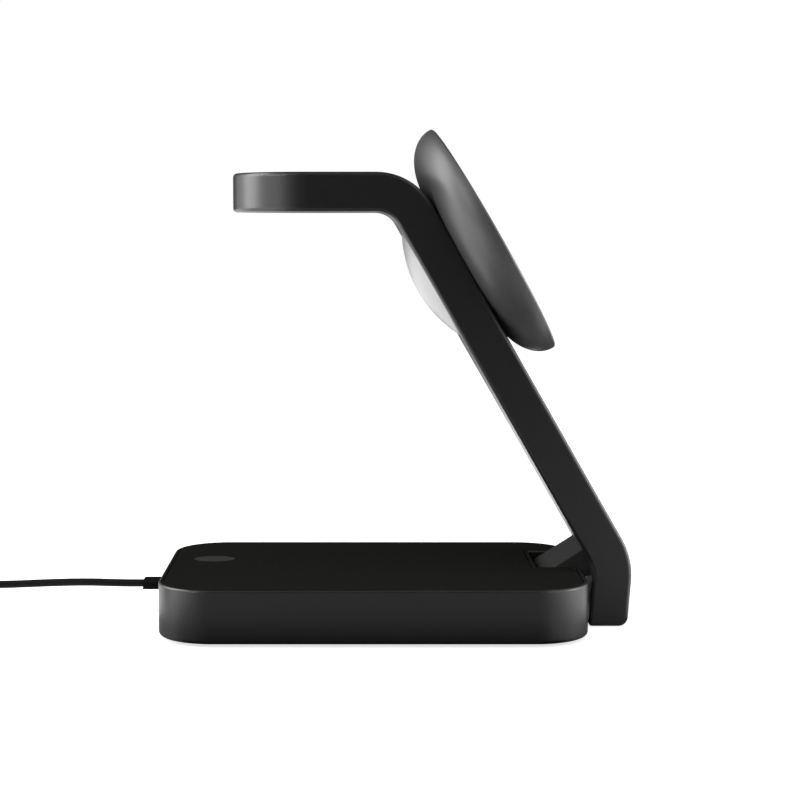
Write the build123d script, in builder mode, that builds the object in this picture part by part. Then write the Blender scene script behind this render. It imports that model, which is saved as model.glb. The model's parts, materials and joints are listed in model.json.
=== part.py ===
"""Three in one wireless charger: a flat base that charges earbuds, a bent arm hinged to the
base's front end, a magnetic phone pad on the arm's front and a watch puck on its back.
Millimetres. +X points to the user, +Z is up, and the origin is under the middle of the base."""

import os
from math import cos, pi, radians, sin, tan

from build123d import *

os.makedirs("parts", exist_ok=True)

# Base housing
base_length = 96.0
base_width = 63.0
base_top = 12.65
base_bottom = 0.7
base_corner = 12.5
base_bottom_round = 0.8
base_top_round = 0.5
base_wall = 2.6
roof_wall = 1.6
grip_thickness = 0.8
grip_inset = 6.5
grip_gap = 0.1
cover_thickness = 2.0
cover_inset = 5.0
cover_gap = 0.15

# Inset top panel with its status light
panel_thickness = 1.2
panel_rim = 0.9
panel_gap = 0.12
panel_edge = 0.2
lens_length = 9.6
lens_width = 7.2
lens_gap = 0.04
lens_from_rear = 5.6

# Arm, a bent band that reads from the side as bar, incline and foot
arm_offset = 7.7
arm_width = 35.6
arm_thickness = 8.95
arm_round = 0.9
arm_wall = 1.8
arm_side_wall = 2.0
arm_cover_thickness = 1.8
arm_cover_gap = 0.15
bar_top = 103.6
bar_length = 41.65
bend_radius = 14.5
incline_angle = 60.15
foot_overhang = 11.15
foot_lean = 4.5
foot_radius = 17.0
foot_knee_rise = 3.02
foot_bottom = 0.1
sole_round = 2.2

# Hinge between the arm and the base
hinge_inset = 6.3
hinge_drop = 3.95
tongue_radius = 2.9
tongue_width = 20.6
tongue_slope = 32.8
tongue_slot_gap = 0.4
pin_radius = 1.4
pin_gap = 0.04
pin_seat = 5.0
cap_recess = 1.0
washer_thickness = 0.3
washer_radius = 2.6
washer_gap = 0.05
notch_rear_gap = 0.8
notch_floor_wall = 3.1
notch_corner = 2.4
root_length = 15.0
root_thickness = 2.6
root_block = 8.0
root_block_gap = 0.4
root_screw_rise = 3.4

# Phone pad on the arm's front
pad_drop = 22.5
pad_radius = 29.2
pad_depth = 9.2
pad_bowl_reach = 12.2
pad_band = 0.4
pad_front_chamfer = 0.35
pad_wall = 2.6
pad_face_thickness = 1.4
pad_face_rim = 1.4
pad_face_gap = 0.12
pad_coil_inner = 9.5
pad_coil_thickness = 1.2
pad_coil_gap = 1.2
magnet_width = 3.6
magnet_thickness = 2.0
magnet_gap = 0.9
shield_thickness = 0.8
pad_screw_spacing = 14.0

# Watch puck on the arm's back
puck_drop = 24.6
puck_radius = 13.6
puck_bulge = 3.3
puck_spigot = 11.0
puck_gap = 0.1
watch_coil_outer = 10.5
watch_coil_inner = 4.0
watch_coil_thickness = 1.2

# Screws
screw_radius = 1.0
screw_gap = 0.05
screw_head_radius = 1.9
screw_head_height = 1.0
screw_bite = 4.6
boss_radius = 3.0
boss_inset = 10.5

# Windings, ballast and board inside the base
earbud_coil_x = -10.0
earbud_coil_outer = 20.0
earbud_coil_inner = 9.0
earbud_coil_thickness = 1.2
ballast_x = 8.0
ballast_length = 36.0
ballast_width = 35.0
ballast_thickness = 2.4
board_length = 22.0
board_width = 18.0
board_thickness = 1.0
board_rear_gap = 0.5
board_rise = 1.3
terminal_length = 4.0
terminal_height = 2.6
standoff_radius = 1.6
standoff_inset = 2.5

# Cord with its boot at the base and its supply plug
port_share = 0.567
boot_width = 6.0
boot_height = 2.1
boot_length = 6.4
boot_round = 0.5
boot_gap = 0.05
boot_flange = 1.2
boot_flange_rim = 1.0
plug_shell_width = 8.2
plug_shell_height = 2.4
plug_shell_length = 6.2
plug_shell_wall = 0.4
plug_width = 9.6
plug_height = 3.4
plug_round = 0.5
cord_diameter = 1.8
coil_turns_across = 5
coil_turns_up = 4
coil_mid_radius = 9.6
coil_round = 0.8
coil_reach = 52.6
tail_length = 13.0
supply_plug_length = 16.0

# Places that follow from the sizes above
base_front = base_length / 2
base_rear = -base_front
roof = base_top - panel_thickness
cavity_top = roof - roof_wall
cover_top = grip_thickness + cover_thickness
port_z = cover_top + (cavity_top - cover_top) * port_share
hinge_x = base_front - hinge_inset
hinge_z = base_top - hinge_drop
notch_floor = base_bottom + base_bottom_round + notch_floor_wall
notch_rear = hinge_x - tongue_radius - notch_rear_gap
notch_half = tongue_width / 2 + washer_thickness + washer_gap
cavity_front = notch_rear - base_wall

# The incline's own frame: origin at the outer corner of the upper bend, x down the incline,
# y out of the arm's front face. The incline rises from the foot's corner, over the base's front end.
down = Vector(cos(radians(incline_angle)), 0, -sin(radians(incline_angle)))
front = Vector(sin(radians(incline_angle)), 0, cos(radians(incline_angle)))
lean = Vector(-sin(radians(foot_lean)), 0, -cos(radians(foot_lean)))
foot_turn = 90 - incline_angle + foot_lean
foot_front = base_front + foot_overhang
foot_arc_start = foot_front - foot_radius * (1 - front.X)
foot_tangent = foot_radius * tan(radians(foot_turn / 2))
foot_corner = Vector(foot_arc_start + foot_tangent * down.X, arm_offset, base_top + foot_knee_rise)
bend_corner = foot_corner.X - (bar_top - foot_corner.Z) / tan(radians(incline_angle))
bar_tip = bend_corner - bar_length
incline = Plane(origin=(bend_corner, arm_offset, bar_top), x_dir=down, z_dir=(0, -1, 0))
pivot = incline.to_local_coords(Vector(hinge_x, arm_offset, hinge_z))
side = Plane.XZ.offset(-arm_offset)


def on_arm(drop, out):
    """Plane parallel to the incline's faces, `drop` down it and `out` from its front face."""
    return Plane(origin=incline.origin + down * drop + front * out, x_dir=(0, 1, 0), z_dir=front)


def across_arm(drop, out, way):
    """Plane through the axis of a round piece on the arm: x is its radius, y runs along `way`."""
    spot = incline.origin + down * drop + front * out
    return Plane(origin=spot, x_dir=(0, 1, 0), z_dir=Vector(0, 1, 0).cross(way))


def behind_arm(drop, out):
    """Plane that faces backwards, `drop` down the incline and `out` from the arm's rear face."""
    spot = incline.origin + down * drop - front * (arm_thickness + out)
    return Plane(origin=spot, x_dir=(0, 1, 0), z_dir=-front)


def arm_line(depth, end):
    """Corners of the line `depth` behind the arm's front face, from the bar's tip to the foot."""
    bend_x = bend_corner - depth * tan(radians(incline_angle / 2))
    foot = foot_corner - front * depth - down * (depth * tan(radians(foot_turn / 2)))
    sole = foot + lean * ((foot.Z - end) / -lean.Z)
    return [(bar_tip, bar_top - depth), (bend_x, bar_top - depth), (foot.X, foot.Z), (sole.X, sole.Z)]


def arm_slab(outer, inner, inset, end, toe=0):
    """The arm's band between two depths behind its front face, drawn in at the sides by `inset`,
    with the front edge of its lower end rounded by `toe`."""
    half = arm_width / 2 - inset
    corners = arm_line(outer, end) + arm_line(inner, end)[::-1]
    front_rounds = [0, bend_radius - outer, foot_radius - outer, toe]
    rounds = front_rounds + [0, foot_radius - inner, bend_radius - inner, 0]
    with BuildPart() as slab:
        with BuildSketch(side):
            with BuildLine():
                FilletPolyline(*corners, radius=rounds, close=True)
            make_face()
        extrude(amount=half, both=True)
        with BuildSketch():
            with Locations((bar_tip + inset + half, arm_offset)):
                Circle(half)
                Rectangle(foot_front - bar_tip, 2 * half, align=(Align.MIN, Align.CENTER))
        extrude(amount=bar_top + arm_thickness, mode=Mode.INTERSECT)
    return slab.part


def base_plan(inset):
    """Outline of the base from above, drawn in by `inset`."""
    with BuildSketch() as plan:
        RectangleRounded(base_length - 2 * inset, base_width - 2 * inset, base_corner - inset)
    return plan.sketch


def notched_plan(inset):
    """Outline of the base from above with the hinge notch in its front end, drawn in by `inset`."""
    with BuildSketch() as plan:
        add(base_plan(0))
        with Locations((notch_rear, arm_offset)):
            Rectangle(base_length, 2 * notch_half, align=(Align.MIN, Align.CENTER), mode=Mode.SUBTRACT)
        offset(amount=-notch_corner)
        offset(amount=notch_corner - inset)
    return plan.sketch


def cavity_plan(inset):
    """Outline of the hollow behind the notch, `inset` in from the base's sides."""
    with BuildSketch() as plan:
        add(base_plan(inset))
        with Locations((cavity_front, 0)):
            Rectangle(base_length, base_width, align=(Align.MIN, Align.CENTER), mode=Mode.SUBTRACT)
    return plan.sketch


def disc(place, radius, thickness):
    """Flat round plate on `place`."""
    with BuildPart() as plate:
        with BuildSketch(place):
            Circle(radius)
        extrude(amount=thickness)
    return plate.part


def ring(place, outer, inner, thickness):
    """Flat ring on `place`, such as a winding or a washer."""
    with BuildPart() as flat:
        with BuildSketch(place):
            Circle(outer)
            Circle(inner, mode=Mode.SUBTRACT)
        extrude(amount=thickness)
    return flat.part


def screw(place, bite):
    """Screw whose head's underside lies on `place`, with its shank along the plane's z axis."""
    with BuildPart() as fastener:
        with BuildSketch(place):
            Circle(screw_head_radius)
        extrude(amount=-screw_head_height)
        with BuildSketch(place):
            Circle(screw_radius)
        extrude(amount=bite)
    return fastener.part


def plug_body(place, length):
    """Slim plug handle that runs along the z axis of `place`."""
    with BuildPart() as body:
        with BuildSketch(place):
            RectangleRounded(plug_width, plug_height, plug_height / 2 - plug_round / 2)
        extrude(amount=length)
        fillet(body.faces().sort_by(Axis(place.origin, place.z_dir))[-1].edges(), plug_round)
    return body.part


def plug_shell(place):
    """Metal mouth of a plug, open at its end, along the z axis of `place`."""
    with BuildPart() as mouth:
        with BuildSketch(place):
            SlotOverall(plug_shell_width, plug_shell_height)
        extrude(amount=plug_shell_length)
        with BuildSketch(place.offset(plug_shell_wall)):
            SlotOverall(plug_shell_width - 2 * plug_shell_wall, plug_shell_height - 2 * plug_shell_wall)
        extrude(amount=plug_shell_length, mode=Mode.SUBTRACT)
    return mouth.part


def write(piece, name):
    """Label a finished piece and write its STEP file."""
    piece.label = name
    export_step(piece, f"parts/{name}.step")


# Base shell: a rounded slab, hollow from below, with the panel's recess, the notch and the port
boss_spots = [
    (x, y)
    for x in (base_rear + boss_inset, cavity_front - boss_radius - base_wall)
    for y in (boss_inset - base_width / 2, base_width / 2 - boss_inset)
]
pin_near = arm_offset - notch_half - pin_seat
pin_length = 2 * (notch_half + pin_seat)
pin_way = Plane(origin=(hinge_x, pin_near, hinge_z), x_dir=(1, 0, 0), z_dir=(0, 1, 0))
port = Plane(origin=(base_rear, arm_offset, port_z), x_dir=(0, 1, 0), z_dir=(1, 0, 0))
with BuildPart() as base_shell:
    with BuildSketch(Plane.XY.offset(base_bottom)):
        add(base_plan(0))
    extrude(amount=notch_floor - base_bottom)
    fillet(base_shell.faces().sort_by(Axis.Z)[0].edges(), base_bottom_round)
    with BuildSketch(Plane.XY.offset(notch_floor)):
        add(notched_plan(0))
    extrude(amount=base_top - notch_floor)
    fillet(base_shell.faces().sort_by(Axis.Z)[-1].edges(), base_top_round)
    with BuildSketch(Plane.XY.offset(roof)):
        add(notched_plan(panel_rim))
    extrude(amount=panel_thickness, mode=Mode.SUBTRACT)
    with BuildSketch(Plane.XY.offset(cover_top)):
        add(cavity_plan(cover_inset))
    extrude(amount=cavity_top - cover_top, mode=Mode.SUBTRACT)
    with BuildSketch(Plane.XY.offset(notch_floor)):
        add(cavity_plan(base_wall))
    extrude(amount=cavity_top - notch_floor, mode=Mode.SUBTRACT)
    with BuildSketch(Plane.XY.offset(base_bottom)):
        add(cavity_plan(cover_inset))
    extrude(amount=cover_top - base_bottom, mode=Mode.SUBTRACT)
    with BuildSketch(Plane.XY.offset(base_bottom)):
        add(base_plan(grip_inset - grip_gap))
    extrude(amount=grip_thickness - base_bottom, mode=Mode.SUBTRACT)
    with BuildSketch(Plane.XY.offset(cover_top)):
        with Locations(*boss_spots):
            Circle(boss_radius)
    extrude(amount=cavity_top - cover_top)
    with BuildSketch(Plane.XY.offset(cover_top)):
        with Locations(*boss_spots):
            Circle(screw_radius + screw_gap)
    extrude(amount=screw_bite, mode=Mode.SUBTRACT)
    with BuildSketch(port):
        RectangleRounded(boot_width + 2 * boot_gap, boot_height + 2 * boot_gap, boot_round + boot_gap)
    extrude(amount=base_wall, mode=Mode.SUBTRACT)
    with BuildSketch(pin_way):
        Circle(pin_radius)
    extrude(amount=base_width, mode=Mode.SUBTRACT)
write(base_shell.part, "base_shell")

# Top panel, flush in the rim, with an oval window for the status light
lens_x = base_rear + lens_from_rear + lens_length / 2
with BuildPart() as top_panel:
    with BuildSketch(Plane.XY.offset(roof)):
        add(notched_plan(panel_rim + panel_gap))
    extrude(amount=panel_thickness)
    chamfer(top_panel.faces().sort_by(Axis.Z)[-1].edges(), panel_edge)
    with BuildSketch(Plane.XY.offset(roof)):
        with Locations((lens_x, arm_offset)):
            Ellipse(lens_length / 2 + lens_gap, lens_width / 2 + lens_gap)
    extrude(amount=panel_thickness, mode=Mode.SUBTRACT)
write(top_panel.part, "top_panel")

# Status light's lens, flush in the panel
with BuildPart() as light_lens:
    with BuildSketch(Plane.XY.offset(roof)):
        with Locations((lens_x, arm_offset)):
            Ellipse(lens_length / 2, lens_width / 2)
    extrude(amount=panel_thickness)
write(light_lens.part, "light_lens")

# Bottom cover with its countersunk holes and the board's standoffs
board_x = base_rear + cover_inset + board_rear_gap + board_length / 2
board_z = cover_top + board_rise
standoff_spots = [
    (board_x + x * (board_length / 2 - standoff_inset), arm_offset + y * (board_width / 2 - standoff_inset))
    for x in (-1, 1)
    for y in (-1, 1)
]
with BuildPart() as bottom_cover:
    with BuildSketch(Plane.XY.offset(base_bottom)):
        add(cavity_plan(cover_inset + cover_gap))
    extrude(amount=cover_top - base_bottom)
    with BuildSketch(Plane.XY.offset(base_bottom)):
        add(base_plan(grip_inset - grip_gap))
    extrude(amount=grip_thickness - base_bottom, mode=Mode.SUBTRACT)
    with BuildSketch(Plane.XY.offset(cover_top)):
        with Locations(*standoff_spots):
            Circle(standoff_radius)
    extrude(amount=board_rise)
    with BuildSketch(Plane.XY.offset(grip_thickness)):
        with Locations(*boss_spots):
            Circle(screw_radius + screw_gap)
    extrude(amount=cover_thickness, mode=Mode.SUBTRACT)
    with BuildSketch(Plane.XY.offset(grip_thickness)):
        with Locations(*boss_spots):
            Circle(screw_head_radius + cover_gap)
    extrude(amount=screw_head_height, mode=Mode.SUBTRACT)
write(bottom_cover.part, "bottom_cover")

# Rubber grip sheet that the base stands on
with BuildPart() as grip_sheet:
    with BuildSketch():
        add(base_plan(grip_inset))
    extrude(amount=grip_thickness)
write(grip_sheet.part, "grip_sheet")

# Screws that hold the bottom cover to the shell's bosses
for number, (x, y) in enumerate(boss_spots, 1):
    head_seat = Plane(origin=(x, y, grip_thickness + screw_head_height))
    bite = cover_thickness - screw_head_height + screw_bite - screw_gap
    write(screw(head_seat, bite), f"cover_screw_{number}")

# Earbud winding under the roof, with its shield below it
coil_seat = Plane(origin=(earbud_coil_x, 0, cavity_top - earbud_coil_thickness))
write(ring(coil_seat, earbud_coil_outer, earbud_coil_inner, earbud_coil_thickness), "earbud_coil")
write(disc(coil_seat, earbud_coil_outer, -shield_thickness), "earbud_shield")

# Steel ballast plate on the bottom cover
with BuildPart() as ballast:
    with BuildSketch(Plane.XY.offset(cover_top)):
        with Locations((ballast_x, 0)):
            Rectangle(ballast_length, ballast_width)
    extrude(amount=ballast_thickness)
write(ballast.part, "ballast_plate")

# Circuit board on its standoffs
with BuildPart() as board:
    with BuildSketch(Plane.XY.offset(board_z)):
        with Locations((board_x, arm_offset)):
            Rectangle(board_length, board_width)
    extrude(amount=board_thickness)
write(board.part, "circuit_board")

# Terminal on the board's rear end, where the cord's wires are soldered
board_rear = board_x - board_length / 2
with BuildPart() as terminal:
    with BuildSketch(Plane.XY.offset(board_z + board_thickness)):
        with Locations((board_rear, arm_offset)):
            Rectangle(terminal_length, boot_width, align=(Align.MIN, Align.CENTER))
    extrude(amount=terminal_height)
write(terminal.part, "cord_terminal")

# Hinge pin, pressed into the notch's side walls through a bore in the far side, and the bore's cap
cap_side = base_width / 2 - base_corner + (base_corner**2 - (base_corner - hinge_inset) ** 2) ** 0.5
cap_length = cap_side - cap_recess - pin_near - pin_length
write(disc(pin_way, pin_radius, pin_length), "hinge_pin")
write(disc(pin_way.offset(pin_length), pin_radius, cap_length), "hinge_cap")

# Friction washers between the notch's side walls and the arm's tongue
far_washer = pin_length - pin_seat - washer_thickness
for name, start in (("near", pin_seat), ("far", far_washer)):
    washer = ring(pin_way.offset(start), washer_radius, pin_radius + pin_gap, washer_thickness)
    write(washer, f"hinge_washer_{name}")

# Arm shell: the bent band, hollow from its rear side
screw_offset = pad_screw_spacing / 2
with BuildPart() as arm_shell:
    add(arm_slab(0, arm_thickness, 0, foot_bottom, sole_round))
    rim = arm_shell.edges().filter_by(lambda e: abs(abs(e.center().Y - arm_offset) - arm_width / 2) < 1e-3)
    rim = rim.filter_by(Axis.Z, reverse=True)
    tip = arm_shell.edges().filter_by(GeomType.CIRCLE).group_by(Axis.X)[0]
    heel = arm_shell.faces().sort_by(Axis.Z)[0].edges().filter_by(Axis.Y).sort_by(Axis.X)[:1]
    fillet(rim + tip + heel, arm_round)
    hollow = arm_slab(arm_wall, arm_thickness + arm_wall, arm_side_wall, foot_bottom + arm_side_wall)
    add(hollow, mode=Mode.SUBTRACT)
    with BuildSketch(on_arm(pad_drop, -arm_wall)):
        with Locations((-screw_offset, 0), (screw_offset, 0)):
            Circle(screw_radius + screw_gap)
    extrude(amount=arm_wall, mode=Mode.SUBTRACT)
write(arm_shell.part, "arm_shell")

# Hinge tongue: a solid bar from the base's notch into the arm, where a block and a plate hold it
root_out = -arm_wall - root_thickness
root_low = incline.to_local_coords(foot_corner).X - foot_tangent
root_top = root_low - root_length
root_inner = root_block_gap + arm_cover_thickness - arm_thickness
root_screw_drop = root_top + root_screw_rise
tongue_tilt = tongue_slope + incline_angle - 90
tongue_reach = (root_out + root_thickness / 2 - pivot.Y) / cos(radians(tongue_tilt))
with BuildPart() as hinge_tongue:
    with BuildSketch(side):
        with Locations((hinge_x, hinge_z)):
            Circle(tongue_radius)
            Rectangle(tongue_reach, 2 * tongue_radius, tongue_slope, align=(Align.MIN, Align.CENTER))
            Circle(pin_radius + pin_gap, mode=Mode.SUBTRACT)
    extrude(amount=tongue_width / 2, both=True)
    with BuildSketch(incline):
        with Locations((root_top, root_out)):
            Rectangle(root_length, root_thickness, align=(Align.MIN, Align.MIN))
        with Locations((root_low - root_block, root_inner)):
            Rectangle(root_block, -arm_wall - root_inner, align=(Align.MIN, Align.MIN))
    extrude(amount=tongue_width / 2, both=True)
    with BuildSketch(on_arm(root_screw_drop, root_out)):
        with Locations((-screw_offset, 0), (screw_offset, 0)):
            Circle(screw_radius + screw_gap)
    extrude(amount=root_thickness, mode=Mode.SUBTRACT)
write(hinge_tongue.part, "hinge_tongue")

# Arm cover: closes the arm from behind and below, with the tongue's slot and the puck's hole
with BuildPart() as arm_cover:
    add(
        arm_slab(
            arm_thickness - arm_cover_thickness,
            arm_thickness,
            arm_side_wall + arm_cover_gap,
            foot_bottom + arm_side_wall + arm_cover_gap,
        )
    )
    with BuildSketch(side):
        with Locations((hinge_x, hinge_z)):
            slot_width = 2 * (tongue_radius + tongue_slot_gap)
            Rectangle(tongue_reach, slot_width, tongue_slope, align=(Align.MIN, Align.CENTER))
    extrude(amount=tongue_width / 2 + tongue_slot_gap, both=True, mode=Mode.SUBTRACT)
    with BuildSketch(behind_arm(puck_drop, 0)):
        Circle(puck_spigot + puck_gap)
    extrude(amount=-arm_cover_thickness, mode=Mode.SUBTRACT)
write(arm_cover.part, "arm_cover")

# Screws that hold the tongue's plate to the arm's front wall
for number, y in enumerate((-screw_offset, screw_offset), 1):
    seat = on_arm(root_screw_drop, root_out)
    seat = Plane(origin=seat.origin + Vector(0, y, 0), x_dir=seat.x_dir, z_dir=seat.z_dir)
    write(screw(seat, root_thickness), f"tongue_screw_{number}")

# Phone pad's back: a shallow bowl whose flat bottom sits on the arm's front
face_seat = pad_depth - pad_face_thickness
face_recess = pad_radius - pad_face_rim
pad_cavity = pad_radius - pad_wall
bowl_flat = pad_radius - pad_bowl_reach
bowl_side = pad_depth - pad_band - pad_front_chamfer
front_edge = pad_radius - pad_front_chamfer
pad_axis = Axis(on_arm(pad_drop, 0).origin, front)
with BuildPart() as pad_back:
    with BuildSketch(across_arm(pad_drop, 0, front)):
        with BuildLine():
            outside = EllipticalCenterArc((bowl_flat, bowl_side), pad_bowl_reach, bowl_side, 270)
            inside_reach = pad_bowl_reach - pad_wall
            inside = EllipticalCenterArc((bowl_flat, face_seat), inside_reach, face_seat - pad_wall, 270)
            Polyline(
                outside @ 1,
                (pad_radius, pad_depth - pad_front_chamfer),
                (front_edge, pad_depth),
                (face_recess, pad_depth),
                (face_recess, face_seat),
                inside @ 1,
            )
            Polyline(inside @ 0, (0, pad_wall), (0, 0), outside @ 0)
        make_face()
    revolve(axis=pad_axis)
    with BuildSketch(on_arm(pad_drop, 0)):
        with Locations((-screw_offset, 0), (screw_offset, 0)):
            Circle(screw_radius + screw_gap)
    extrude(amount=pad_wall, mode=Mode.SUBTRACT)
write(pad_back.part, "pad_back")

# Screws that hold the pad to the arm's front wall, driven from inside the arm
for number, y in enumerate((-screw_offset, screw_offset), 1):
    seat = on_arm(pad_drop, -arm_wall)
    seat = Plane(origin=seat.origin + Vector(0, y, 0), x_dir=seat.x_dir, z_dir=seat.z_dir)
    write(screw(seat, arm_wall + pad_wall), f"pad_screw_{number}")

# Phone pad's face with the magnet ring, winding and shield behind it
coil_out = face_seat - pad_coil_thickness
magnet_outer = pad_cavity - magnet_gap
magnet_inner = magnet_outer - magnet_width
pad_coil_outer = magnet_inner - pad_coil_gap
write(disc(on_arm(pad_drop, face_seat), face_recess - pad_face_gap, pad_face_thickness), "pad_face")
write(ring(on_arm(pad_drop, face_seat), magnet_outer, magnet_inner, -magnet_thickness), "magnet_ring")
write(ring(on_arm(pad_drop, face_seat), pad_coil_outer, pad_coil_inner, -pad_coil_thickness), "phone_coil")
write(disc(on_arm(pad_drop, coil_out), pad_coil_outer, -shield_thickness), "phone_shield")

# Watch puck: a white dome on the arm's back with a spigot through the arm cover
with BuildPart() as watch_puck:
    with BuildSketch(across_arm(puck_drop, -arm_thickness, -front)):
        with BuildLine():
            Polyline(
                (0, puck_bulge),
                (0, -arm_cover_thickness),
                (puck_spigot, -arm_cover_thickness),
                (puck_spigot, 0),
                (puck_radius, 0),
            )
            TangentArc((0, puck_bulge), (puck_radius, 0), tangent=(1, 0))
        make_face()
    revolve(axis=Axis(behind_arm(puck_drop, 0).origin, -front))
write(watch_puck.part, "watch_puck")

# Watch winding behind the puck's spigot, with its shield
winding_seat = behind_arm(puck_drop, -arm_cover_thickness)
shield_seat = winding_seat.offset(-watch_coil_thickness)
write(ring(winding_seat, watch_coil_outer, watch_coil_inner, -watch_coil_thickness), "watch_coil")
write(disc(shield_seat, watch_coil_outer, -shield_thickness), "watch_shield")

# Cord's boot: a block outside the base's rear end, held by a flange behind the wall, with the lead
# from there to the terminal
flange_end = base_wall + boot_flange
with BuildPart() as boot:
    with BuildSketch(port.offset(-boot_length)):
        RectangleRounded(boot_width, boot_height, boot_round)
    extrude(amount=boot_length + base_wall)
    with BuildSketch(port.offset(base_wall)):
        RectangleRounded(boot_width + 2 * boot_flange_rim, boot_height + 2 * boot_flange_rim, boot_round)
    extrude(amount=boot_flange)
    with BuildSketch(port.offset(flange_end)):
        Circle(cord_diameter / 2)
    extrude(amount=board_rear - base_rear - flange_end)
write(boot.part, "cord_boot")

# Cord from the boot to its coil, as straight runs joined by the largest arcs that fit
outer_turn = coil_mid_radius + (coil_turns_across - 1) / 2 * cord_diameter
coil_x = base_rear - boot_length - coil_reach
coil_y = arm_offset - outer_turn
top_layer = (coil_turns_up - 0.5) * cord_diameter
cord_exit = Vector(base_rear - boot_length, arm_offset, port_z)
route = [
    cord_exit,
    cord_exit + Vector(-6.0, 0.0, 0.0),
    cord_exit + Vector(-13.2, 0.2, 0.25),
    cord_exit + Vector(-22.7, 0.4, 0.0),
    cord_exit + Vector(-33.2, 0.2, -0.45),
    cord_exit + Vector(-43.2, -0.1, -0.75),
    Vector(coil_x, arm_offset, top_layer),
]
bends = []
for before, corner, after in zip(route, route[1:], route[2:]):
    shorter = min((corner - before).length, (after - corner).length)
    turn = (corner - before).get_angle(after - corner)
    bends.append(0.45 * shorter / tan(radians(turn / 2)))
print("cord bend radii:", [round(bend, 1) for bend in bends])
with BuildPart() as cord_tube:
    with BuildLine() as cord_path:
        FilletPolyline(*route, radius=bends)
    with BuildSketch(Plane(origin=route[0], z_dir=route[1] - route[0])):
        Circle(cord_diameter / 2)
    sweep(path=cord_path.wire())
cord_section = pi * cord_diameter**2 / 4
cord_fill = cord_tube.part.volume / cord_section / cord_path.wire().length
print("cord volume over section times length:", cord_fill)
write(cord_tube.part, "cord_tube")

# The length that is put away, as one ring with the coil's outer shape
half_across = coil_turns_across / 2 * cord_diameter
with BuildPart() as cord_coil:
    with BuildSketch(Plane(origin=(coil_x, coil_y, 0))):
        Circle(coil_mid_radius + half_across)
        Circle(coil_mid_radius - half_across, mode=Mode.SUBTRACT)
    extrude(amount=coil_turns_up * cord_diameter)
    fillet(cord_coil.edges().filter_by(GeomType.CIRCLE), coil_round)
write(cord_coil.part, "cord_coil")

# Cord's other end, and the supply plug that it goes into
tail_y = coil_y + outer_turn
tail_z = plug_height / 2
with BuildPart() as cord_tail:
    with BuildSketch(Plane(origin=(coil_x, tail_y, tail_z), z_dir=(-1, 0, 0))):
        Circle(cord_diameter / 2)
    extrude(amount=tail_length)
write(cord_tail.part, "cord_tail")
supply_mouth = Vector(coil_x - tail_length - supply_plug_length, tail_y, tail_z)
handle_place = Plane(origin=supply_mouth, x_dir=(0, 1, 0), z_dir=(1, 0, 0))
mouth_place = Plane(origin=supply_mouth, x_dir=(0, 1, 0), z_dir=(-1, 0, 0))
write(plug_body(handle_place, supply_plug_length), "supply_plug")
write(plug_shell(mouth_place), "supply_plug_shell")
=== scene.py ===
"""Looks of the three in one wireless charger: camera, cord, materials, lamps and floor.
Metres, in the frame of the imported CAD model."""

import json
import math

import bmesh
import bpy
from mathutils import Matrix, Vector


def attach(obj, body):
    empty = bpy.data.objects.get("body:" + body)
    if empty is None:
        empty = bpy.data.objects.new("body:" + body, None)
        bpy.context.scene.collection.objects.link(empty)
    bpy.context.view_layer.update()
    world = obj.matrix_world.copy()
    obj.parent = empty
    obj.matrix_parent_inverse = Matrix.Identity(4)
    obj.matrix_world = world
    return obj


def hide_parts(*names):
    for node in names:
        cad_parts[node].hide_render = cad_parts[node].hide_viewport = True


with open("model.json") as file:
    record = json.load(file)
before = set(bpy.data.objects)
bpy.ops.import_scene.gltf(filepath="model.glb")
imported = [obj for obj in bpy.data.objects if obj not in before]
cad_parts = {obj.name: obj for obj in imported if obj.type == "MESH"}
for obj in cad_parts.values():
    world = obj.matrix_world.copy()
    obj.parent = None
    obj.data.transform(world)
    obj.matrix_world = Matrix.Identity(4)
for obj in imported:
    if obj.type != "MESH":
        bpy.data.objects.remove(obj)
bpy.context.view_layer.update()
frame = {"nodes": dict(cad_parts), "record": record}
scene = bpy.context.scene
scene.view_settings.view_transform = "Standard"


def link(obj):
    """Put a new object into the scene."""
    scene.collection.objects.link(obj)
    return obj


# Camera, fitted to points measured in the photograph
camera_data = bpy.data.cameras.new("camera")
camera_data.sensor_width = 36
camera_data.lens = 83.2
camera_data.shift_x = 0.0483
camera_data.clip_start = 0.01
camera = link(bpy.data.objects.new("camera", camera_data))
camera.location = (-0.00268, -0.4269, 0.0912)
camera.rotation_euler = (math.radians(90 - 5.34), 0, 0)
scene.camera = camera

# Cord: the route of the CAD tube, then the turns of the coil, then the tail to the supply plug
cord_diameter = 0.0018
tie_lift = 0.00035
coil_centre = Vector((-0.107, -0.0055))
outer_turn = 0.0132
turns_per_layer = 4
inner_turn = outer_turn - turns_per_layer * cord_diameter
layers = 4
steps = 18
crossing_steps = 12
control_radius = 1 / math.cos(math.pi / steps)
route = [
    (-0.0544, 0.0077, 0.0068),
    (-0.0604, 0.0077, 0.0068),
    (-0.0676, 0.0079, 0.00705),
    (-0.0771, 0.0081, 0.0068),
    (-0.0876, 0.0079, 0.00635),
    (-0.0976, 0.0077, 0.0064),
]


def coil_point(step, radius, height):
    """Control point of the coil, `step` steps round it from where the cord comes in."""
    angle = math.pi / 2 + 2 * math.pi * step / steps
    reach = radius * control_radius
    x = coil_centre.x + reach * math.cos(angle)
    y = coil_centre.y + reach * math.sin(angle)
    return (x, y, height)


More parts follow.
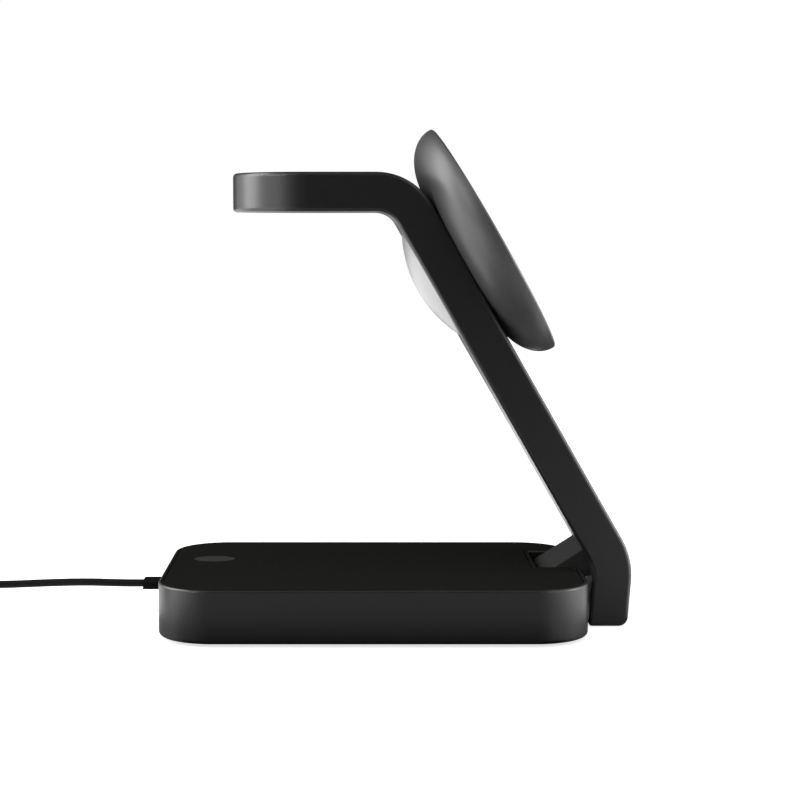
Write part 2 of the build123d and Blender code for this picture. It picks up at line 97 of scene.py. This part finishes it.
def coil_points():
    """Turns that wind inwards and outwards by turns, each layer a diameter below the last."""
    points = []
    step = 0
    for layer in range(layers):
        height = tie_lift + (layers - 0.5 - layer) * cord_diameter
        inwards = layer % 2 == 0
        for turn_step in range(turns_per_layer * steps + 1):
            shift = turn_step / steps * cord_diameter
            radius = outer_turn - shift if inwards else inner_turn + shift
            points.append(coil_point(step, radius, height))
            step += 1
        if layer < layers - 1:
            for drop_step in range(1, crossing_steps):
                drop = cord_diameter * drop_step / crossing_steps
                points.append(coil_point(step, radius, height - drop))
                step += 1
    return points


tail = [
    (-0.1110, 0.0077, 0.0013),
    (-0.1150, 0.0077, 0.0016),
    (-0.1200, 0.0077, 0.0017),
]


def nurbs_curve(name, points, radius):
    """Round curve piece whose control points are `points`, each with the piece's own radius."""
    data = bpy.data.curves.new(name, "CURVE")
    data.dimensions = "3D"
    data.bevel_depth = 1.0
    data.bevel_resolution = 3
    data.resolution_u = 3
    data.use_fill_caps = True
    spline = data.splines.new("NURBS")
    spline.points.add(len(points) - 1)
    for point, place in zip(spline.points, points):
        point.co = (*place, 1)
        point.radius = radius
    spline.order_u = 3
    spline.use_endpoint_u = True
    return link(bpy.data.objects.new(name, data))


cord = nurbs_curve("cord", route + coil_points() + tail, cord_diameter / 2)


def mesh_piece(name, verts, faces):
    """Flat shaded mesh object from points and faces, with its faces turned outwards."""
    mesh = bpy.data.meshes.new(name)
    mesh.from_pydata(verts, [], faces)
    shell = bmesh.new()
    shell.from_mesh(mesh)
    bmesh.ops.recalc_face_normals(shell, faces=shell.faces)
    shell.to_mesh(mesh)
    shell.free()
    return link(bpy.data.objects.new(name, mesh))


def ring_faces(rings, sides):
    """Quads between `rings` rows of `sides` points each, with the last row joined to the first."""
    faces = []
    for row in range(rings):
        start = row * sides
        other = (row + 1) % rings * sides
        for side in range(sides):
            after = (side + 1) % sides
            faces.append((start + side, start + after, other + after, other + side))
    return faces


# Strap that holds the coil: a flat band round the bundle of turns, its outer edges chamfered
tie_angle = math.radians(205)
tie_half_width = 0.0021
tie_thickness = 0.00032
tie_edge = 0.00008
tie_gap = 0.00001
corner_steps = 8
bundle_half = Vector((turns_per_layer + 1, layers)) * cord_diameter / 2
bundle_round = 0.0011
bundle_middle = Vector(((outer_turn + inner_turn) / 2, tie_lift + bundle_half.y))


def bundle_outline(gap):
    """Points round the bundle's section, `gap` outside it, as radius and height."""
    points = []
    for quarter in range(4):
        sign_r = (1, -1, -1, 1)[quarter]
        sign_z = (1, 1, -1, -1)[quarter]
        corner_r = bundle_middle.x + sign_r * (bundle_half.x - bundle_round)
        corner_z = bundle_middle.y + sign_z * (bundle_half.y - bundle_round)
        for step in range(corner_steps + 1):
            angle = math.pi / 2 * (quarter + step / corner_steps)
            reach = bundle_round + gap
            points.append((corner_r + reach * math.cos(angle), corner_z + reach * math.sin(angle)))
    return points


def strap(name, angle, inner_gap):
    """Flat band round the coil's section at `angle` round the coil."""
    out = Vector((math.cos(angle), math.sin(angle), 0))
    along = Vector((-math.sin(angle), math.cos(angle), 0))
    centre = Vector((coil_centre.x, coil_centre.y, 0))
    section = [
        (inner_gap, -tie_half_width),
        (inner_gap, tie_half_width),
        (inner_gap + tie_thickness - tie_edge, tie_half_width),
        (inner_gap + tie_thickness, tie_half_width - tie_edge),
        (inner_gap + tie_thickness, tie_edge - tie_half_width),
        (inner_gap + tie_thickness - tie_edge, -tie_half_width),
    ]
    outlines = [bundle_outline(gap) for gap, _ in section]
    count = len(outlines[0])
    verts = []
    for place in range(count):
        for outline, (_, across) in zip(outlines, section):
            radius, height = outline[place]
            verts.append(centre + out * radius + along * across + Vector((0, 0, height)))
    return mesh_piece(name, verts, ring_faces(count, len(section)))


tie = strap("cord_tie", tie_angle, tie_gap)

for piece in (cord, tie):
    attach(piece, "base")
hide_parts("cord_tube", "cord_coil", "cord_tail")


# Span of a noise texture over which a colour or a roughness runs
noise_low = 0.3
noise_high = 0.7


class Finish:
    """Node material with a Principled shader and small helpers for its texture nodes."""

    def __init__(self, name, **sockets):
        self.material = bpy.data.materials.new(name)
        self.material.use_nodes = True
        self.nodes = self.material.node_tree.nodes
        self.links = self.material.node_tree.links
        self.shader = self.nodes["Principled BSDF"]
        self.place = self.nodes.new("ShaderNodeTexCoord")
        for socket, value in sockets.items():
            self.shader.inputs[socket.replace("_", " ")].default_value = value

    def noise(self, scale, detail, stretch=None):
        """Noise in the object's own metres, `scale` cells to the metre."""
        node = self.nodes.new("ShaderNodeTexNoise")
        node.inputs["Scale"].default_value = scale
        node.inputs["Detail"].default_value = detail
        source = self.place.outputs["Object"]
        if stretch:
            mapping = self.nodes.new("ShaderNodeMapping")
            mapping.inputs["Scale"].default_value = stretch
            self.links.new(source, mapping.inputs["Vector"])
            source = mapping.outputs["Vector"]
        self.links.new(source, node.inputs["Vector"])
        return node.outputs["Fac"]

    def ribs(self, scale):
        """Even ribs across the object's diagonal, at a wave texture's `scale`."""
        node = self.nodes.new("ShaderNodeTexWave")
        node.wave_type = "BANDS"
        node.bands_direction = "DIAGONAL"
        node.inputs["Scale"].default_value = scale
        self.links.new(self.place.outputs["Object"], node.inputs["Vector"])
        return node.outputs["Fac"]

    def colours(self, source, low, high):
        """Base colour that runs from `low` to `high` over `source`."""
        ramp = self.nodes.new("ShaderNodeValToRGB")
        ramp.color_ramp.elements[0].position = noise_low
        ramp.color_ramp.elements[0].color = (*low, 1)
        ramp.color_ramp.elements[1].position = noise_high
        ramp.color_ramp.elements[1].color = (*high, 1)
        self.links.new(source, ramp.inputs["Fac"])
        self.links.new(ramp.outputs["Color"], self.shader.inputs["Base Color"])

    def roughness(self, source, low, high):
        """Roughness that runs from `low` to `high` over `source`."""
        spread = self.nodes.new("ShaderNodeMapRange")
        spread.inputs["From Min"].default_value = noise_low
        spread.inputs["From Max"].default_value = noise_high
        spread.inputs["To Min"].default_value = low
        spread.inputs["To Max"].default_value = high
        self.links.new(source, spread.inputs["Value"])
        self.links.new(spread.outputs["Result"], self.shader.inputs["Roughness"])

    def bump(self, source, depth, strength):
        """Relief of `depth` metres from `source`."""
        node = self.nodes.new("ShaderNodeBump")
        node.inputs["Strength"].default_value = strength
        node.inputs["Distance"].default_value = depth
        self.links.new(source, node.inputs["Height"])
        self.links.new(node.outputs["Normal"], self.shader.inputs["Normal"])


finishes = {}

# Satin dark paint of the base and arm, with a very fine grain
housing = Finish("housing_paint", Specular_IOR_Level=0.95)
housing.colours(housing.noise(900, 3), (0.0066, 0.0066, 0.0067), (0.0076, 0.0076, 0.0077))
housing.roughness(housing.noise(2600, 2), 0.31, 0.36)
housing.bump(housing.noise(5200, 2), 0.000002, 0.3)
finishes["housing"] = housing

# Same satin dark paint as the base and arm, made paler on the phone pad's bowl: painted light that
# stands in for the broad light and highlight on the bowl
bowl_painted_light = Finish("bowl_paint_painted_light", Specular_IOR_Level=0.85)
bowl_painted_light.colours(bowl_painted_light.noise(900, 3), (0.060, 0.060, 0.0605), (0.066, 0.066, 0.0665))
bowl_painted_light.roughness(bowl_painted_light.noise(2600, 2), 0.38, 0.43)
bowl_painted_light.bump(bowl_painted_light.noise(5200, 2), 0.000002, 0.3)

# Matt soft-touch panel
panel = Finish("panel_soft_touch", Specular_IOR_Level=0.0)
panel.colours(panel.noise(700, 3), (0.0123, 0.0123, 0.0113), (0.0145, 0.0145, 0.0133))
panel.roughness(panel.noise(1800, 2), 0.66, 0.74)
panel.bump(panel.noise(6000, 2), 0.000004, 0.4)
finishes["panel"] = panel

# Smoked light window
lens = Finish("lens_smoked", Specular_IOR_Level=0.0)
lens.colours(lens.noise(500, 2), (0.041, 0.041, 0.041), (0.048, 0.048, 0.048))
lens.roughness(lens.noise(1500, 2), 0.40, 0.48)
finishes["lens"] = lens

# Ribbed rubber sheet under the base
grip = Finish("grip_rubber", Specular_IOR_Level=0.3)
grip.colours(grip.noise(1200, 3), (0.014, 0.014, 0.014), (0.022, 0.022, 0.022))
grip.roughness(grip.noise(2400, 2), 0.72, 0.85)
grip.bump(grip.ribs(90), 0.0003, 0.8)
finishes["grip"] = grip

# Dark satin zinc of the hinge
hinge_metal = Finish("hinge_zinc", Specular_IOR_Level=0.02)
hinge_metal.colours(hinge_metal.noise(1600, 3), (0.042, 0.042, 0.0424), (0.047, 0.047, 0.0474))
hinge_metal.roughness(hinge_metal.noise(3000, 2), 0.46, 0.54)
hinge_metal.bump(hinge_metal.noise(5000, 2), 0.000003, 0.4)
finishes["hinge_metal"] = hinge_metal

# Brushed steel of pins, screws and plug mouths
steel = Finish("steel_brushed", Metallic=1.0)
steel.colours(steel.noise(1500, 3), (0.52, 0.52, 0.53), (0.60, 0.60, 0.61))
steel.roughness(steel.noise(1200, 3, (1, 12, 12)), 0.22, 0.36)
steel.bump(steel.noise(1800, 3, (1, 12, 12)), 0.000004, 0.5)
finishes["steel"] = steel

# Enamelled copper windings
copper = Finish("copper_winding", Metallic=1.0, Coat_Weight=0.3, Coat_Roughness=0.2)
copper.colours(copper.noise(900, 3), (0.60, 0.28, 0.13), (0.70, 0.34, 0.17))
copper.roughness(copper.noise(1800, 2), 0.28, 0.38)
copper.bump(copper.noise(2600, 2), 0.00002, 0.6)
finishes["copper"] = copper

# Ferrite shields
ferrite = Finish("ferrite_sheet", Specular_IOR_Level=0.4)
ferrite.colours(ferrite.noise(1400, 3), (0.050, 0.050, 0.052), (0.075, 0.075, 0.078))
ferrite.roughness(ferrite.noise(2200, 2), 0.55, 0.70)
ferrite.bump(ferrite.noise(4200, 2), 0.00001, 0.5)
finishes["ferrite"] = ferrite

# Nickel plated magnets
magnet = Finish("magnet_nickel", Metallic=1.0)
magnet.colours(magnet.noise(1100, 3), (0.44, 0.43, 0.41), (0.52, 0.51, 0.49))
magnet.roughness(magnet.noise(2100, 2), 0.25, 0.34)
magnet.bump(magnet.noise(4200, 2), 0.000004, 0.5)
finishes["magnet"] = magnet

# Circuit board
board = Finish("circuit_board", Coat_Weight=0.3, Coat_Roughness=0.2)
board.colours(board.noise(420, 1), (0.010, 0.060, 0.024), (0.020, 0.105, 0.040))
board.roughness(board.noise(1400, 2), 0.38, 0.50)
board.bump(board.noise(1500, 1), 0.00002, 0.5)
finishes["board"] = board

# Smooth white dome of the watch puck
puck = Finish("puck_white", Specular_IOR_Level=0.2)
puck.colours(puck.noise(160, 2), (0.72, 0.72, 0.72), (0.74, 0.74, 0.74))
puck.roughness(puck.noise(160, 1), 0.28, 0.31)
finishes["puck"] = puck

# Black cord jacket
jacket = Finish("cord_jacket", Specular_IOR_Level=0.1)
jacket.colours(jacket.noise(800, 3), (0.010, 0.010, 0.010), (0.012, 0.012, 0.012))
jacket.roughness(jacket.noise(1600, 2), 0.48, 0.58)
jacket.bump(jacket.noise(4000, 2), 0.00001, 0.5)
finishes["cord"] = jacket

# Moulded plug handles
handle = Finish("plug_moulded", Specular_IOR_Level=0.1)
handle.colours(handle.noise(900, 3), (0.004, 0.004, 0.0042), (0.006, 0.006, 0.0062))
handle.roughness(handle.noise(2400, 2), 0.45, 0.55)
handle.bump(handle.noise(6000, 2), 0.000008, 0.5)
finishes["plug"] = handle


def dress(obj, finish):
    """Give an object one material in all its slots."""
    obj.data.materials.clear()
    obj.data.materials.append(finish.material)


for entry in frame["record"]["subparts"]:
    dress(frame["nodes"][entry["node"]], finishes[entry["material_slot"]])
# The pad's bowl takes the paler copy of the housing paint, painted light
dress(frame["nodes"]["pad_back"], bowl_painted_light)
for piece in (cord, tie):
    dress(piece, jacket)

# Pale floor that keeps the object's shadow and clips to white elsewhere
floor_material = bpy.data.materials.new("floor")
floor_material.use_nodes = True
floor_nodes = floor_material.node_tree.nodes
floor_links = floor_material.node_tree.links
floor_nodes.clear()
floor_diffuse = floor_nodes.new("ShaderNodeBsdfDiffuse")
floor_diffuse.inputs["Color"].default_value = (0.9, 0.9, 0.9, 1)


def seen_rays(nodes, links):
    """1 for camera, glossy and transmission rays, 0 for the rest."""
    path = nodes.new("ShaderNodeLightPath")
    total = path.outputs["Is Camera Ray"]
    for ray in ("Is Glossy Ray", "Is Transmission Ray"):
        largest = nodes.new("ShaderNodeMath")
        largest.operation = "MAXIMUM"
        links.new(total, largest.inputs[0])
        links.new(path.outputs[ray], largest.inputs[1])
        total = largest.outputs["Value"]
    return total


floor_glow = floor_nodes.new("ShaderNodeEmission")
floor_gain = floor_nodes.new("ShaderNodeMath")
floor_gain.operation = "MULTIPLY"
floor_gain.inputs[1].default_value = 0.72
floor_sum = floor_nodes.new("ShaderNodeAddShader")
floor_out = floor_nodes.new("ShaderNodeOutputMaterial")
floor_links.new(seen_rays(floor_nodes, floor_links), floor_gain.inputs[0])
floor_links.new(floor_gain.outputs["Value"], floor_glow.inputs["Strength"])
floor_links.new(floor_diffuse.outputs["BSDF"], floor_sum.inputs[0])
floor_links.new(floor_glow.outputs["Emission"], floor_sum.inputs[1])
floor_links.new(floor_sum.outputs["Shader"], floor_out.inputs["Surface"])

floor_half = 3.0
floor_corners = [
    (-floor_half, -floor_half, 0),
    (floor_half, -floor_half, 0),
    (floor_half, floor_half, 0),
    (-floor_half, floor_half, 0),
]
floor = mesh_piece("floor", floor_corners, [(0, 1, 2, 3)])
floor.data.materials.append(floor_material)

# World: white where it is seen or mirrored, a plain grey level as light
world = bpy.data.worlds.new("world")
scene.world = world
world.use_nodes = True
world_nodes = world.node_tree.nodes
world_links = world.node_tree.links
world_nodes.clear()
world_light = world_nodes.new("ShaderNodeBackground")
world_light.inputs["Color"].default_value = (1, 1, 1, 1)
world_light.inputs["Strength"].default_value = 0.35
world_seen = world_nodes.new("ShaderNodeBackground")
world_seen.inputs["Color"].default_value = (1, 1, 1, 1)
world_seen.inputs["Strength"].default_value = 1.0
world_mix = world_nodes.new("ShaderNodeMixShader")
world_out = world_nodes.new("ShaderNodeOutputWorld")
world_links.new(seen_rays(world_nodes, world_links), world_mix.inputs["Fac"])
world_links.new(world_light.outputs["Background"], world_mix.inputs[1])
world_links.new(world_seen.outputs["Background"], world_mix.inputs[2])
world_links.new(world_mix.outputs["Shader"], world_out.inputs["Surface"])


def softbox(name, place, aim, width, height, power):
    """Rectangular lamp at `place` that faces `aim`."""
    data = bpy.data.lights.new(name, "AREA")
    data.shape = "RECTANGLE"
    data.size = width
    data.size_y = height
    data.energy = power
    lamp = link(bpy.data.objects.new(name, data))
    lamp.location = place
    lamp.rotation_euler = (Vector(aim) - Vector(place)).to_track_quat("-Z", "Y").to_euler()


aim = (0.0, 0.0, 0.05)
softbox("lamp_left", (-0.80, 0.10, 0.46), aim, width=0.5, height=0.9, power=6.1)
softbox("lamp_right", (0.75, 0.0, 0.15), aim, width=0.3, height=0.4, power=2.3)
softbox("lamp_front", (-0.60, -0.50, 0.50), aim, width=0.4, height=0.4, power=1.1)
softbox("lamp_top", (-0.05, -0.30, 0.85), aim, width=0.7, height=0.5, power=2.0)


def card(name, grey, rows):
    """Sheet of one grey level, through rows that are each given as left X, right X, Y and Z."""
    material = bpy.data.materials.new(name)
    material.use_nodes = True
    shader = material.node_tree.nodes["Principled BSDF"]
    shader.inputs["Base Color"].default_value = (grey, grey, grey, 1)
    shader.inputs["Specular IOR Level"].default_value = 0.0
    points = [(x, y, z) for left, right, y, z in rows for x in (left, right)]
    faces = [(2 * row, 2 * row + 1, 2 * row + 3, 2 * row + 2) for row in range(len(rows) - 1)]
    sheet = mesh_piece(name, points, faces)
    sheet.data.materials.append(material)
    sheet.visible_camera = False
    sheet.visible_shadow = False
    sheet.visible_diffuse = False


# Black, dark and grey cards on the table and standing round the object, as photographers use, so
# that flat faces stay deep. Only mirrored rays see them.
black = 0.01
dark = 0.05
lift = 0.0002
strip_lift = 0.0003
card_height = 0.78
front_y = -0.75
table_y = -0.20
rear_y = 0.55
card("card_near", black, [(-0.066, 0.046, -0.030, strip_lift), (-0.070, 0.046, -0.050, strip_lift)])
card("card_table", 0.32, [(-0.066, 0.066, 0.0, lift), (-0.13, 0.13, table_y, lift)])
card("card_far", 0.10, [(-0.13, 0.13, table_y, lift), (-0.30, 0.30, front_y, lift)])
card("card_front", black, [(-0.60, 0.45, front_y, lift), (-0.60, 0.45, front_y, card_height)])
card("card_top", black, [(-0.40, 0.40, front_y, card_height), (-0.40, 0.40, rear_y, card_height)])
card("card_rear", black, [(-0.50, 0.50, rear_y, lift), (-0.40, 0.40, rear_y, card_height)])
card("card_under_bar", dark, [(-0.045, 0.010, 0.22, lift), (-0.055, 0.010, rear_y, lift)])
card("card_by_foot", dark, [(0.048, 0.10, 0.020, lift), (0.06, 0.30, rear_y, lift)])

bpy.context.view_layer.update()
